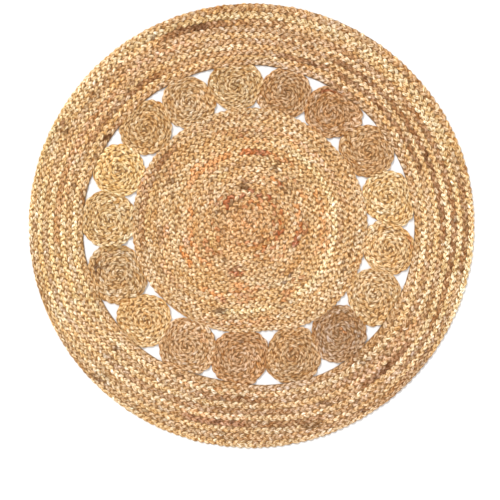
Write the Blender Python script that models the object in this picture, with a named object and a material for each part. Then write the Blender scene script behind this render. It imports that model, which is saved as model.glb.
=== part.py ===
"""Round jute rug: flat plait coiled and sewn into a centre disc, seventeen medallions and a border band.

The rug lies flat on Z = 0, with the origin under its middle and +Z up. The plait is flat, of three strands,
and about 11.5 mm wide, and two plaits go round each coil side by side. Each coil is one solid: a flat
underside, a rounded rim, and a rounded ridge for each plait of each turn, with grooves between them. The
plaits run outwards clockwise, and step out by one turn along a short stretch of each turn.
"""

import math

import bmesh
import bpy
from mathutils import Vector

# Sizes of the whole rug, in metres
RUG_RADIUS = 0.450
PLAIT_HEIGHT = 0.0080
GROOVE_HEIGHT = 0.0056
RIM_HEIGHT = 0.0030
UNDERSIDE_INSET = 0.0016

# Plaits that lie side by side in each turn
PLAITS = 2

# Turns across each coil, and the steps that go round each turn. The half turn is at the heart.
DISC_TURNS = 10
BAND_TURNS = 5
MEDALLION_TURNS = 2.5
DISC_STEPS = 52
BAND_STEPS = 72
MEDALLION_ARC_POINTS = 1
MEDALLION_SIDE_POINTS = 1
MEDALLION_FACE_POINTS = 2

# The stretch, as a part of one turn, in which the plaits step out to their next turn. At the heart of a coil
# it is the whole turn, and it shortens by HEART_TIGHTENING with each turn.
DISC_STEP_OUT = 0.21
BAND_STEP_OUT = 0.05
MEDALLION_STEP_OUT = 0.35
HEART_TIGHTENING = 0.3

# The disc's turns take on the uneven shape of its rim with this power of how far out they are. Its heart lies
# a little off the rug's middle.
DISC_EVENNESS = 1.5
DISC_HEART = (-0.0026, 0.0058)

# Bearings, in degrees counterclockwise from +X, at which the coils start; the band's slants across its width
DISC_START = 285.0
BAND_START = 212.0
BAND_START_SLANT = 18.0
MEDALLION_START_TURN = 137.5

# Room between pieces that are sewn edge to edge
SIDE_ROOM = 0.0002
DISC_ROOM = 0.0007
BAND_ROOM = 0.0009

# One row for each medallion and the joint between it and the next one round: bearings in degrees, the rest
# in millimetres from the rug's middle. outer_tip and inner_tip are where the two medallions part and a gap
# opens; band_edge and disc_edge are where the band's hole and the centre disc's rim run past those gaps.
ROUND_COLUMNS = (
    "bearing", "centre",
    "outer_bearing", "outer_tip", "band_edge",
    "inner_bearing", "inner_tip", "disc_edge",
    "shade",
)
ROUND_ROWS = (
    (11.8, 282, 22.0, 300, 326, 22.1, 252, 233, "light"),
    (32.2, 280, 42.3, 302, 324, 44.8, 252, 230, "brown"),
    (55.0, 279, 65.5, 298, 322, 65.1, 249, 233, "brown"),
    (75.1, 277, 85.3, 297, 324, 87.5, 248, 237, "brown"),
    (96.3, 284, 107.3, 301, 326, 105.9, 255, 237, "tan"),
    (117.1, 280, 126.3, 309, 331, 127.9, 258, 237, "tan"),
    (137.4, 290, 147.4, 308, 334, 147.6, 263, 240, "tan"),
    (157.6, 289, 166.9, 315, 339, 167.2, 257, 240, "light"),
    (178.0, 287, 188.1, 312, 341, 188.7, 260, 240, "light"),
    (200.3, 287, 210.9, 312, 337, 212.3, 256, 235, "tan"),
    (222.0, 288, 232.0, 307, 332, 230.0, 248, 228, "light"),
    (242.2, 277, 253.9, 298, 319, 252.9, 240, 221, "tan"),
    (264.6, 269, 275.8, 294, 324, 278.2, 238, 214, "brown"),
    (287.6, 276, 297.9, 306, 333, 299.7, 240, 228, "tan"),
    (308.9, 281, 318.8, 310, 332, 320.6, 254, 233, "brown"),
    (330.9, 285, 340.7, 308, 332, 340.5, 253, 233, "light"),
    (350.3, 283, 359.5, 307, 330, 2.2, 251, 234, "light"),
)

# How far the band's middle turns wander from an even spacing, in millimetres at each bearing
WANDER_COLUMNS = ("bearing", "drift")
WANDER_ROWS = (
    (0, 0), (30, -8), (60, -6), (90, -8), (120, -1), (150, 4),
    (180, 5), (210, 6), (240, 1), (270, -7), (300, 3), (330, 8),
)

# Base colours of the jute, dry and matt
JUTE_COLOURS = {
    "disc": (0.520, 0.345, 0.178, 1.0),
    "band": (0.500, 0.335, 0.180, 1.0),
    "light": (0.560, 0.400, 0.210, 1.0),
    "tan": (0.455, 0.300, 0.160, 1.0),
    "brown": (0.350, 0.225, 0.125, 1.0),
}
JUTE_ROUGHNESS = 0.92
CREASE_ANGLE = 50.0

# How finely places on an outline are worked out
PROBE = 0.02
LIMIT_ROUNDS = 4
HALVINGS = 30


def named_rows(columns, rows):
    """The rows of a table, each as a dictionary of its named columns."""
    return [dict(zip(columns, row)) for row in rows]


ROUNDS = named_rows(ROUND_COLUMNS, ROUND_ROWS)
WANDER = named_rows(WANDER_COLUMNS, WANDER_ROWS)


def polar(radius, bearing):
    """The flat point at a radius, in metres, and a bearing, in degrees."""
    angle = math.radians(bearing)
    return Vector((radius * math.cos(angle), radius * math.sin(angle)))


def bearing_of(point):
    """The bearing of a flat point, in degrees from 0 to 360."""
    return math.degrees(math.atan2(point.y, point.x)) % 360.0


def eased(part):
    """A smooth rise from 0 to 1 as part goes from 0 to 1."""
    held = min(1.0, max(0.0, part))
    return held * held * (3.0 - 2.0 * held)


def around(rows, bearing_column, value_column, bearing):
    """A table's value at any bearing, in metres: a smooth closed curve through its rows."""
    marks = sorted((row[bearing_column] % 360.0, row[value_column]) for row in rows)
    count = len(marks)
    here = bearing % 360.0
    after = next((i for i, mark in enumerate(marks) if mark[0] > here), count)
    before, start, end, beyond = (marks[(after + shift) % count] for shift in (-2, -1, 0, 1))
    span = (end[0] - start[0]) % 360.0
    part = ((here - start[0]) % 360.0) / span
    slope_in = (end[1] - before[1]) / ((end[0] - before[0]) % 360.0) * span
    slope_out = (beyond[1] - start[1]) / ((beyond[0] - start[0]) % 360.0) * span
    rise = end[1] - start[1]
    bend_in = slope_in - rise
    bend_out = rise - slope_out
    curve = part * (1.0 - part) * (bend_in * (1.0 - part) + bend_out * part)
    return (start[1] + rise * part + curve) / 1000.0


def disc_edge(bearing):
    return around(ROUNDS, "inner_bearing", "disc_edge", bearing)


def band_edge(bearing):
    return around(ROUNDS, "outer_bearing", "band_edge", bearing)


def step_stretch(turn, step_out, has_hole):
    """The part of a turn in which the plaits step out: all of it at a coil's heart, then less."""
    if has_hole:
        return step_out
    return max(step_out, 1.0 - HEART_TIGHTENING * turn)


def groove_place(count, turns, step_out, has_hole):
    """How far across a coil, from 0 to 1, its groove lies after a count of turns from the coil's start."""
    if count <= 1.0:
        return 0.0
    turn = math.floor(count - 1.0)
    stepped = eased((count - 1.0 - turn) / step_stretch(turn, step_out, has_hole))
    left_out = math.ceil(turns) - turns
    return min(1.0, max(0.0, (turn + stepped - left_out) / turns))


class CoilMesh:
    """Faces of one coil, in which corners at the same place are one vertex."""

    def __init__(self):
        self.mesh = bmesh.new()
        self.corners = {}

    def corner(self, flat, height):
        key = (round(flat.x, 7), round(flat.y, 7), round(height, 7))
        if key not in self.corners:
            self.corners[key] = self.mesh.verts.new((flat.x, flat.y, height))
        return self.corners[key]

    def face(self, corners):
        different = list(dict.fromkeys(corners))
        if len(different) > 2:
            self.mesh.faces.new(different)


def coil_solid(name, turns, steps, step_out, place, has_hole):
    """One coil as a closed solid. place(across, step) gives the flat point at a part of the coil's width."""
    coil = CoilMesh()

    def edge(count, step):
        across = groove_place(count, turns, step_out, has_hole)
        on_rim = across >= 1.0 or (has_hole and across <= 0.0)
        return across, RIM_HEIGHT if on_rim else GROOVE_HEIGHT

    for turn in range(math.ceil(turns) + 1):
        for step in range(steps):
            rows = []
            for ahead in (step, step + 1):
                count = turn + ahead / steps
                inner, inner_height = edge(count, ahead)
                outer, outer_height = edge(count + 1.0, ahead)
                fullness = min(1.0, (outer - inner) * turns)
                row = []
                for half in range(2 * PLAITS + 1):
                    part = half / (2 * PLAITS)
                    low = inner_height + (outer_height - inner_height) * part
                    top = PLAIT_HEIGHT if half % 2 else GROOVE_HEIGHT
                    lift = (top - low) * fullness if 0.0 < part < 1.0 else 0.0
                    row.append(coil.corner(place(inner + (outer - inner) * part, ahead), low + lift))
                rows.append(row)
            here, next_one = rows
            for i in range(len(here) - 1):
                coil.face((here[i], next_one[i], next_one[i + 1], here[i + 1]))

    def underside_corner(across, step):
        rim = place(across, step)
        inward = place(across - (PROBE if across else -PROBE), step) - rim
        return coil.corner(rim + inward.normalized() * UNDERSIDE_INSET, 0.0)

    outer_foot = [underside_corner(1.0, step) for step in range(steps)]
    outer_rim = [coil.corner(place(1.0, step), RIM_HEIGHT) for step in range(steps)]
    for step in range(steps):
        after = (step + 1) % steps
        coil.face((outer_rim[step], outer_rim[after], outer_foot[after], outer_foot[step]))
    if has_hole:
        inner_foot = [underside_corner(0.0, step) for step in range(steps)]
        inner_rim = [coil.corner(place(0.0, step), RIM_HEIGHT) for step in range(steps)]
        for step in range(steps):
            after = (step + 1) % steps
            coil.face((inner_rim[after], inner_rim[step], inner_foot[step], inner_foot[after]))
            coil.face((inner_foot[after], inner_foot[step], outer_foot[step], outer_foot[after]))
    else:
        coil.face(list(reversed(outer_foot)))

    bmesh.ops.recalc_face_normals(coil.mesh, faces=coil.mesh.faces)
    data = bpy.data.meshes.new(name)
    coil.mesh.to_mesh(data)
    coil.mesh.free()
    data.shade_smooth()
    data.set_sharp_from_angle(angle=math.radians(CREASE_ANGLE))
    piece = bpy.data.objects.new(name, data)
    bpy.context.scene.collection.objects.link(piece)
    return piece


def jute(shade):
    """The dry, matt finish of one shade of jute."""
    material = bpy.data.materials.new("jute_" + shade)
    material.use_nodes = True
    shader = material.node_tree.nodes["Principled BSDF"]
    shader.inputs["Base Color"].default_value = JUTE_COLOURS[shade]
    shader.inputs["Roughness"].default_value = JUTE_ROUGHNESS
    shader.inputs["Metallic"].default_value = 0.0
    return material


def centre_disc():
    """The middle coil: round at its heart, and as flattened as its rim towards the outside."""

    def place(across, step):
        bearing = DISC_START - 360.0 * step / DISC_STEPS
        round_radius = sum(row["disc_edge"] for row in ROUNDS) / len(ROUNDS) / 1000.0
        uneven = (disc_edge(bearing) - round_radius) * across ** DISC_EVENNESS
        return Vector(DISC_HEART) * (1.0 - across) + polar((round_radius + uneven) * across, bearing)

    return coil_solid("centre_disc", DISC_TURNS, DISC_STEPS, DISC_STEP_OUT, place, has_hole=False)


def border_band():
    """The outer coil: round outside, an uneven hole inside, and turns that wander between them."""

    def place(across, step):
        bearing = BAND_START + BAND_START_SLANT * (1.0 - across) - 360.0 * step / BAND_STEPS
        hole = band_edge(bearing)
        wander = around(WANDER, "bearing", "drift", bearing) * 4.0 * across * (1.0 - across)
        return polar(hole + (RUG_RADIUS - hole) * across + wander, bearing)

    return coil_solid("border_band", BAND_TURNS, BAND_STEPS, BAND_STEP_OUT, place, has_hole=True)


def along_ray(start, heading, radius):
    """How far along a ray it meets the circle of a radius round the rug's middle, farther and nearer."""
    half = start.dot(heading)
    inside = half * half - start.dot(start) + radius * radius
    if inside < 0.0:
        return None
    return -half + math.sqrt(inside), -half - math.sqrt(inside)


class Medallion:
    """One medallion: a round coil pressed flat by its neighbours, the centre disc and the band."""

    def __init__(self, index):
        row, before = ROUNDS[index], ROUNDS[index - 1]
        self.centre = polar(row["centre"] / 1000.0, row["bearing"])
        self.sides = []
        corners = []
        for joint in (row, before):
            inner = polar(joint["inner_tip"] / 1000.0, joint["inner_bearing"])
            outer = polar(joint["outer_tip"] / 1000.0, joint["outer_bearing"])
            along = (outer - inner).normalized()
            away = Vector((-along.y, along.x))
            if away.dot(inner - self.centre) < 0.0:
                away.negate()
            self.sides.append((inner, away))
            corners += [inner, outer]
        self.corners = sorted((bearing_of(tip - self.centre), (tip - self.centre).length) for tip in corners)

    def rounded(self, heading):
        """The free outline, a rounded shape through the four places where gaps open."""
        count = len(self.corners)
        after = next((i for i, corner in enumerate(self.corners) if corner[0] > heading % 360.0), count)
        start, end = self.corners[after - 1], self.corners[after % count]
        part = ((heading - start[0]) % 360.0) / ((end[0] - start[0]) % 360.0)
        return start[1] + (end[1] - start[1]) * eased(part)

    def to_band(self, heading):
        ray = polar(1.0, heading)
        reach = RUG_RADIUS
        for _ in range(LIMIT_ROUNDS):
            limit = band_edge(bearing_of(self.centre + ray * reach)) - BAND_ROOM
            reach = along_ray(self.centre, ray, limit)[0]
        return reach

    def to_disc(self, heading):
        ray = polar(1.0, heading)
        if ray.dot(self.centre) >= 0.0:
            return RUG_RADIUS
        reach = 0.0
        for _ in range(LIMIT_ROUNDS):
            limit = disc_edge(bearing_of(self.centre + ray * reach)) + DISC_ROOM
            met = along_ray(self.centre, ray, limit)
            if met is None:
                return RUG_RADIUS
            reach = met[1]
        return reach

    def to_side(self, heading, side):
        inner, away = side
        ray = polar(1.0, heading)
        facing = ray.dot(away)
        if facing <= 0.0:
            return RUG_RADIUS
        return ((inner - self.centre).dot(away) - SIDE_ROOM) / facing

    def reach(self, heading):
        """How far the outline is from the centre, towards a heading in degrees."""
        limits = [self.rounded(heading), self.to_band(heading), self.to_disc(heading)]
        limits += [self.to_side(heading, side) for side in self.sides]
        return min(limits)

    def pressed_from(self, tip_heading, middle_heading, limit):
        """The heading at which the outline, on its way from a gap's tip, meets the disc or the band."""
        low, high = 0.0, 1.0
        swing = (middle_heading - tip_heading + 180.0) % 360.0 - 180.0
        for _ in range(HALVINGS):
            part = (low + high) / 2.0
            heading = tip_heading + swing * part
            if limit(heading) < self.rounded(heading):
                high = part
            else:
                low = part
        return tip_heading + swing * high

    def headings(self):
        """The headings of the outline's points: at its corners, and evenly between them."""
        outward = bearing_of(self.centre)
        turned = sorted((corner[0] - outward) % 360.0 for corner in self.corners)
        outer_left, inner_left, inner_right, outer_right = (outward + turn for turn in turned)
        band_left = self.pressed_from(outer_left, outward, self.to_band)
        band_right = self.pressed_from(outer_right, outward, self.to_band)
        disc_left = self.pressed_from(inner_left, outward + 180.0, self.to_disc)
        disc_right = self.pressed_from(inner_right, outward + 180.0, self.to_disc)
        marks = (
            (band_left, MEDALLION_ARC_POINTS),
            (outer_left, MEDALLION_SIDE_POINTS),
            (inner_left, MEDALLION_ARC_POINTS),
            (disc_left, MEDALLION_FACE_POINTS),
            (disc_right, MEDALLION_ARC_POINTS),
            (inner_right, MEDALLION_SIDE_POINTS),
            (outer_right, MEDALLION_ARC_POINTS),
            (band_right, MEDALLION_FACE_POINTS),
        )
        found = []
        for index, (heading, between) in enumerate(marks):
            swing = (marks[(index + 1) % len(marks)][0] - heading) % 360.0
            found += [heading + swing * i / (between + 1) for i in range(between + 1)]
        return found


def medallion(index):
    """One medallion of the ring: its inner turns are round, and its outer turns take the pressed outline."""
    shape = Medallion(index)
    headings = shape.headings()
    headings.reverse()
    steps = len(headings)
    first = round(MEDALLION_START_TURN * index / 360.0 * steps) % steps
    outline = [(heading, shape.reach(heading)) for heading in headings[first:] + headings[:first]]
    even_reach = sum(reach for heading, reach in outline) / steps

    def place(across, step):
        heading, reach = outline[step % steps]
        return shape.centre + polar((even_reach + (reach - even_reach) * across) * across, heading)

    name = f"medallion_{index + 1:02d}"
    return coil_solid(name, MEDALLION_TURNS, steps, MEDALLION_STEP_OUT, place, has_hole=False)


def build_rug():
    for leftover in list(bpy.data.objects):
        bpy.data.objects.remove(leftover)
    finishes = {shade: jute(shade) for shade in JUTE_COLOURS}
    centre_disc().data.materials.append(finishes["disc"])
    border_band().data.materials.append(finishes["band"])
    for index, row in enumerate(ROUNDS):
        medallion(index).data.materials.append(finishes[row["shade"]])


build_rug()
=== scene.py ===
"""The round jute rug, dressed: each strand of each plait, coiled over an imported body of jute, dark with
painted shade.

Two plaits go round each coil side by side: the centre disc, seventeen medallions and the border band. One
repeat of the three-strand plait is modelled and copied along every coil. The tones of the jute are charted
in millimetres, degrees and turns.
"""

import math

import bpy
import numpy as np
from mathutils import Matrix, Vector


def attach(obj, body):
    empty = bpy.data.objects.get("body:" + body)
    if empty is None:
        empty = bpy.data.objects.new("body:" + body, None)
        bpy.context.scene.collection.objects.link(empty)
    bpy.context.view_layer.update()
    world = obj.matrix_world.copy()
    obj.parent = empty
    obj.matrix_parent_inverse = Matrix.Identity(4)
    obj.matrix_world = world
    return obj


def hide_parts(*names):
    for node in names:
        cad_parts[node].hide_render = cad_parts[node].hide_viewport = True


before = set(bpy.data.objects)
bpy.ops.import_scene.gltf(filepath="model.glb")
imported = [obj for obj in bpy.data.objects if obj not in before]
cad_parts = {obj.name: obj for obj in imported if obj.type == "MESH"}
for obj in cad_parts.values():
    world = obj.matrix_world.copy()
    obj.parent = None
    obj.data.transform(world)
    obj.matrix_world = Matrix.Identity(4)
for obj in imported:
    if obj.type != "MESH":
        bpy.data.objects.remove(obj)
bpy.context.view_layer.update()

MM_A_METRE = 1000.0

# The plait, in metres: a strand swings from side to side once in each repeat and rises over the others
# twice
PLAIT_WORDS = ("inner", "outer")
PLAIT_WIDTH = 0.0115
PLAIT_MIDDLE = 0.0040
PLAIT_LOWEST = 0.0002
PLAIT_HIGHEST = 0.0084
STRANDS = 3
REPEAT = 0.036
STRAND_SWING = 0.00375
STRAND_STRAIGHTNESS = 0.95
STRAND_RISE = 0.00225
STRAND_EDGE_LIFT = 0.00060
STRAND_HALF_WIDTH = 0.00285
STRAND_CROSSING_WIDTH = 0.00060
STRAND_HALF_THICKNESS = 0.00155
STRAND_SIDES = 8
STRAND_FLATNESS = 0.65
STRAND_RINGS = 13
MERGE_WITHIN = 0.00004

# The map that a strand's streaks follow: the strand's girth, how many girths further on the next strand
# is, and how much longer a strand is than its plait
STRAND_GIRTH = 0.0150
STRAND_MAP_STEP = 1.37
STRAND_TAKE_UP = 1.12

# How uneven the hand-made plait is, and over what length, and how it thins towards its ends
PITCH_DRIFT = 0.7
PITCH_DRIFT_EVERY = 0.060
LOBE_SLIP = 0.22
SIDE_DRIFT = 0.00042
HEIGHT_DRIFT = 0.00022
GIRTH_DRIFT = 0.16
LOBE_DRIFT_EVERY = 0.012
END_TAPER = 0.008
END_THINNEST = 0.35

# A plait that is squeezed narrow gets lower too: its height for each part of its width, and the least
# height
SQUEEZED_HEIGHT = 1.6
SQUEEZED_LEAST = 0.3

# How much wider than its place in the coil a plait is, pressed against its neighbours
SEWN_TIGHT = 1.02
MEDALLION_TIGHT = 1.07

# Turns of each coil. The medallions have half a turn more than their solids, of a narrower plait.
DISC_TURNS = 10
BAND_TURNS = 5
MEDALLION_TURNS = 3

# Over what part of a turn a coil steps out to the next one. Its first turns step out over a longer part,
# and wind out more evenly until they have settled.
DISC_STEP_OUT = 0.21
BAND_STEP_OUT = 0.05
MEDALLION_STEP_OUT = 0.35
HEART_TIGHTENING = 0.3
SETTLED_AFTER = 2.0

# Bearings at which the coils start, in degrees: the band's changes over its width, and each medallion
# starts so much further round than the one before
DISC_START = 285.0
BAND_START = 212.0
BAND_START_SLANT = 18.0
MEDALLION_START_TURN = 137.5

# The disc's heart, the power with which its turns take on the shape of its rim, and the rug's rim
DISC_HEART = (-0.0026, 0.0058)
DISC_EVENNESS = 1.5
RUG_RADIUS = 0.450

# The height at which a solid's rim is read, and a distance from the rug's middle that is past the band's
# hole
RIM_HEIGHT = 0.0030
RIM_WITHIN = 0.00002
HOLE_WITHIN = 0.4

# How finely a coil is worked out, in turns and then in metres, and in turns the distance from its heart
# at which its plaits start and the width at which their tails end
COUNT_STEP = 0.0025
ROUTE_STEP = 0.0025
HEART_RADIUS_TURNS = 0.06
NARROWEST_TAIL = 0.05

# How far the edges of the medallions and of the band's hole draw back from the gaps at most, and how
# quickly their bodies do so less away from the edge
MEDALLION_DRAWN_BACK = 0.0030
MEDALLION_BACK_FADE = 2
BAND_DRAWN_BACK = 0.0012
BAND_BACK_FADE = 4

# How far the plaits reach over their solids where coils are sewn together, and how far round from its
# heading towards the band a medallion touches its neighbours, in degrees
SEWN_OVER = 0.0006
NEIGHBOUR_AT = 100.6

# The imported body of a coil: how much of its solid's height it has, about which level, within what
# distance its points are merged, and how far out the band's reaches
BODY_HEIGHT = 0.55
BODY_LEVEL = 0.0016
BODY_MERGE_WITHIN = 0.00001
BAND_BODY_REACH = 0.9965

# Length of one repeat of the plait in each coil
DISC_REPEAT = 0.0370
BAND_REPEAT = 0.0410
MEDALLION_REPEAT = 0.0480

# How far the band's turns wander from an even spacing, in millimetres at each bearing: at two places of
# its width, and at its rim
WANDER_NEAR = 0.25
WANDER_FAR = 0.75
WANDER_COLUMNS = ("bearing", "near", "far", "rim")
WANDER_ROWS = (
    (0, 2, 1, 0), (20, 0, -4, 0), (40, -1, -7, -1), (60, -2, -6, -2), (80, -6, -8, -2), (100, -4, -5, -2),
    (120, -3, 0, -1), (150, 1, 0, -1), (180, 1, 5, -1), (200, 4, 7, -1), (220, 4, 8, -1), (240, 3, 4, -1),
    (255, 3, 1, -1), (270, -2, -3, -1), (285, 1, 3, -1), (300, 5, 7, -1), (315, 9, 8, -1), (330, 9, 7, -1),
    (345, 2, 1, 0),
)

# One row for each medallion: the bearing and the distance of its middle from the rug's, in millimetres,
# its material slot and the tone of its jute
ROUND_COLUMNS = ("bearing", "centre", "slot", "tone")
ROUND_ROWS = (
    (11.8, 282, "jute_light", (214, 175, 124)),
    (32.2, 280, "jute_brown", (192, 148, 103)),
    (55.0, 279, "jute_brown", (189, 145, 104)),
    (75.1, 277, "jute_brown", (188, 145, 103)),
    (96.3, 284, "jute_tan", (200, 161, 114)),
    (117.1, 280, "jute_tan", (198, 158, 113)),
    (137.4, 290, "jute_tan", (199, 159, 112)),
    (157.6, 289, "jute_light", (220, 181, 125)),
    (178.0, 287, "jute_light", (207, 171, 123)),
    (200.3, 287, "jute_tan", (198, 160, 116)),
    (222.0, 288, "jute_light", (212, 171, 120)),
    (242.2, 277, "jute_tan", (197, 155, 113)),
    (264.6, 269, "jute_brown", (190, 145, 104)),
    (287.6, 276, "jute_tan", (191, 150, 108)),
    (308.9, 281, "jute_brown", (176, 137, 102)),
    (330.9, 285, "jute_light", (206, 167, 121)),
    (350.3, 283, "jute_light", (213, 173, 124)),
)

# The look of the band at each bearing, and of the disc at each distance from its heart, in millimetres,
# with the width of one of the disc's turns
DISC_TURN_WIDTH = 23.2
BAND_TONE_COLUMNS = ("bearing", "tone")
BAND_TONES = (
    (0, (215, 176, 128)), (30, (207, 165, 118)), (60, (205, 163, 118)), (90, (205, 163, 118)),
    (120, (210, 167, 119)), (150, (212, 170, 121)), (180, (217, 178, 128)), (210, (215, 176, 128)),
    (240, (210, 171, 126)), (270, (203, 164, 122)), (300, (205, 164, 121)), (330, (210, 171, 126)),
)
DISC_TONE_COLUMNS = ("distance", "tone")
DISC_TONES = (
    (0, (208, 156, 105)), (60, (209, 162, 113)), (120, (212, 168, 119)), (150, (215, 172, 121)),
    (190, (213, 170, 121)), (235, (208, 166, 120)),
)

# The red, green and blue of the inner and of the outer plait, beside the look of their coil
BAND_PLAITS = ((0.89, 0.84, 0.83), (1.11, 1.13, 1.13))
MEDALLION_PLAITS = ((0.95, 0.91, 0.87), (1.02, 0.98, 0.93))

# Painted shade: how much of its tone the jute keeps deep between the strands, and how far above or
# below a plait's middle it has all of it, where the painted shade ends
PAINTED_DEEP_SHADE = 0.6
OPEN_HEIGHT = 0.0018

# Along a coil's own edge the painted shade is lifted: how much of its tone the jute keeps there at least,
# how many turns in from there that starts to fade, and over how many it fades
EDGE_SHADE = 0.95
EDGE_LIT = 0.02
EDGE_FADE = 0.10

# Lighter jute is paler and darker jute is warmer: powers of a shade for red, green and blue
PALING = (1.0, 1.8, 3.2)

# How much a whole plait varies in tone and in warmth, and over what length
PLAIT_TONE = 0.05
PLAIT_WARMTH = 0.6
PLAIT_TONE_EVERY = 0.02

# How much each strand varies, over long stretches and from lobe to lobe, and what warmth does to red,
# green and blue
SLOW_TONE = 0.10
SLOW_TONE_EVERY = 0.050
LOBE_TONE = 0.09
LOBE_WARMTH = 0.8
WARMING = (0.04, -0.02, -0.10)

# Seeds of the random values: how far apart they are for coils and plaits, and then, of one plait, those
# of its strands' shapes and those of its tones
FIRST_SEED = 1000
COIL_SEEDS = 100
PLAIT_SEEDS = 50
SIDE_SEED = 10
HEIGHT_SEED = 20
GIRTH_SEED = 30
SLIP_SEED = 40
TONE_SEEDS = 7
STRAND_TONE_SEEDS = 3
PLAIT_TONE_SEED = 20

# The streaks along a strand, of its yarns and of their fibres: noise cells a metre across it and along
# it, how much of red, green and blue is in the darkest and in the palest, their slant in degrees, where
# in the noise the darkest and the palest are reached, and their bump as a strength and a height
YARN_ACROSS = 600.0
YARN_ALONG = 130.0
YARN_DARK = (0.42, 0.27, 0.08)
YARN_PALE = (1.58, 1.73, 1.92)
FIBRE_ACROSS = 1500.0
FIBRE_ALONG = 120.0
FIBRE_DARK = (0.76, 0.58, 0.32)
FIBRE_PALE = (1.24, 1.38, 1.64)
STREAK_SLANT = 9.0
STREAK_DARKEST_AT = 0.3
STREAK_PALEST_AT = 0.7
STREAK_BUMP = (0.8, 0.0005)

# The imported jute below the strands: its grain in noise cells a metre, its two dark colours, which are
# painted shade of the deep gaps between the strands, where in the noise they are reached, and its bump
BODY_GRAIN = 900.0
BODY_DARK = (0.20, 0.105, 0.045, 1.0)
BODY_PALE = (0.36, 0.210, 0.095, 1.0)
BODY_DARK_AT = 0.35
BODY_PALE_AT = 0.7
BODY_BUMP = (0.6, 0.0006)

# Tones of the stretches that stand out, as they look from above, and over what length they fade and are
# uneven
STAND_OUT = {
    "cream": (233, 214, 165), "grey": (182, 160, 130), "orange": (222, 146, 84), "rust": (192, 116, 66),
    "red": (160, 84, 48), "rose": (200, 150, 115), "brown": (150, 104, 68), "olive": (158, 128, 82),
    "dark": (96, 58, 30),
}
RUN_FADE = 0.012
RUN_RAGGED = 0.007

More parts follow.
